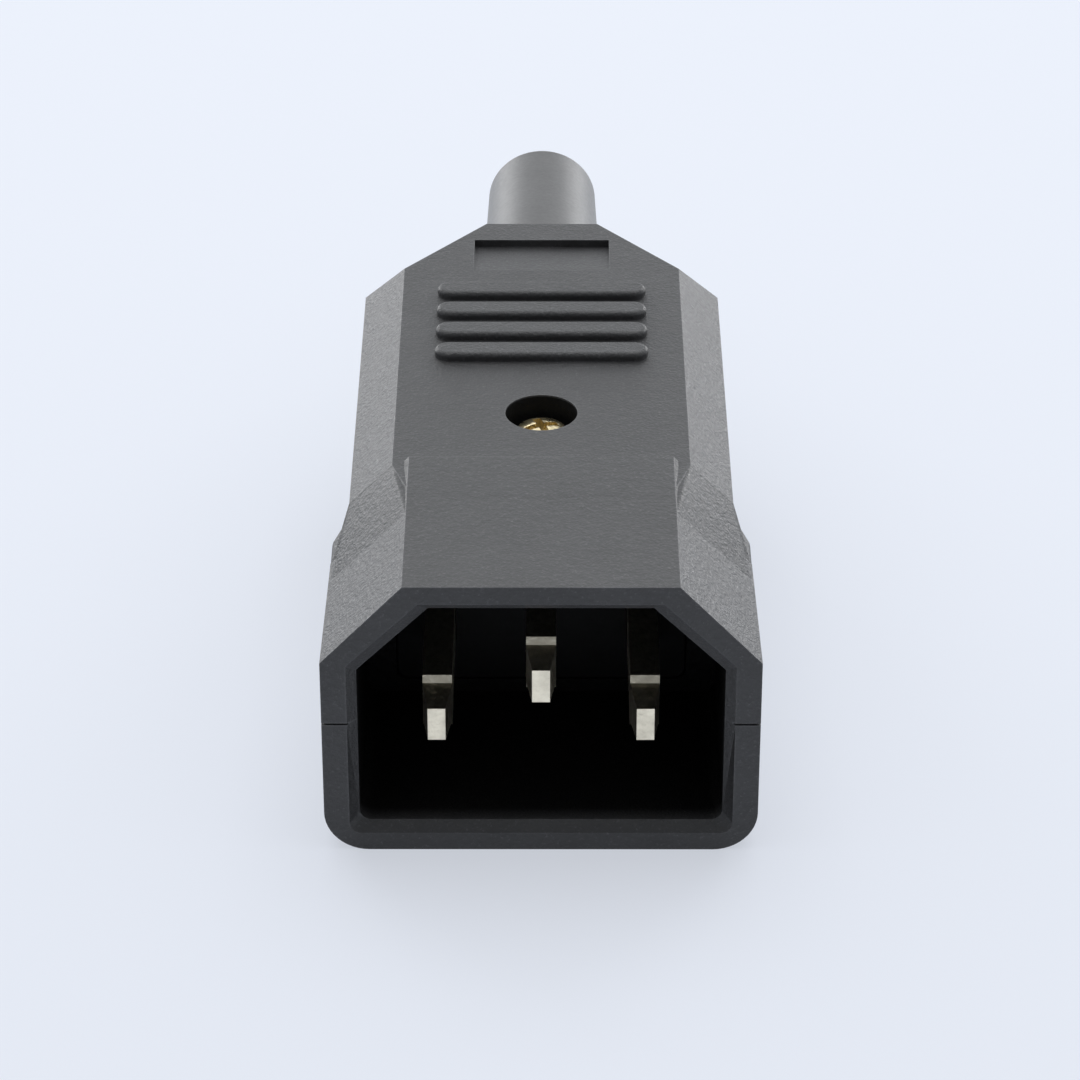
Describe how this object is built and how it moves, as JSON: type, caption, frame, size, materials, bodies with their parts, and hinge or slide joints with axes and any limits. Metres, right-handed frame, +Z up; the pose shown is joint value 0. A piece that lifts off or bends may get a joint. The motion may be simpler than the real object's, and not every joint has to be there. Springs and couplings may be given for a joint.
{
  "type": "c14 rewirable power plug",
  "caption": "Inline mains plug with a D-shaped shroud round three blade pins, two moulded half shells, grip ribs, a sunk cover screw and a rubber cable boot.",
  "frame": {"origin": "middle of the footprint, on the flat underside", "axes": "+Z up; +Y from the open shroud back to the cable boot; +X to the right as the pins are looked at with the earth pin uppermost"},
  "size_m": [0.0292, 0.0782, 0.0211],
  "materials": {
    "shell_plastic": "fine moulded grain",
    "carrier_plastic": "plain moulded",
    "clamp_plastic": "plain moulded",
    "contact_metal": "nickel plated",
    "brass_fixing": "bright",
    "steel_fixing": "zinc plated",
    "boot_rubber": "matt"
  },
  "bodies": {
    "root": {"upper_shell": "shell_plastic", "lower_shell": "shell_plastic", "contact_carrier": "carrier_plastic", "line_contact": "contact_metal", "neutral_contact": "contact_metal", "earth_contact": "contact_metal", "line_terminal_screw": "steel_fixing", "neutral_terminal_screw": "steel_fixing", "earth_terminal_screw": "steel_fixing", "cord_clamp": "clamp_plastic", "clamp_screw_left": "steel_fixing", "clamp_screw_right": "steel_fixing", "cover_screw": "brass_fixing", "cover_nut": "brass_fixing", "cable_boot": "boot_rubber"}
  },
  "joints": []
}
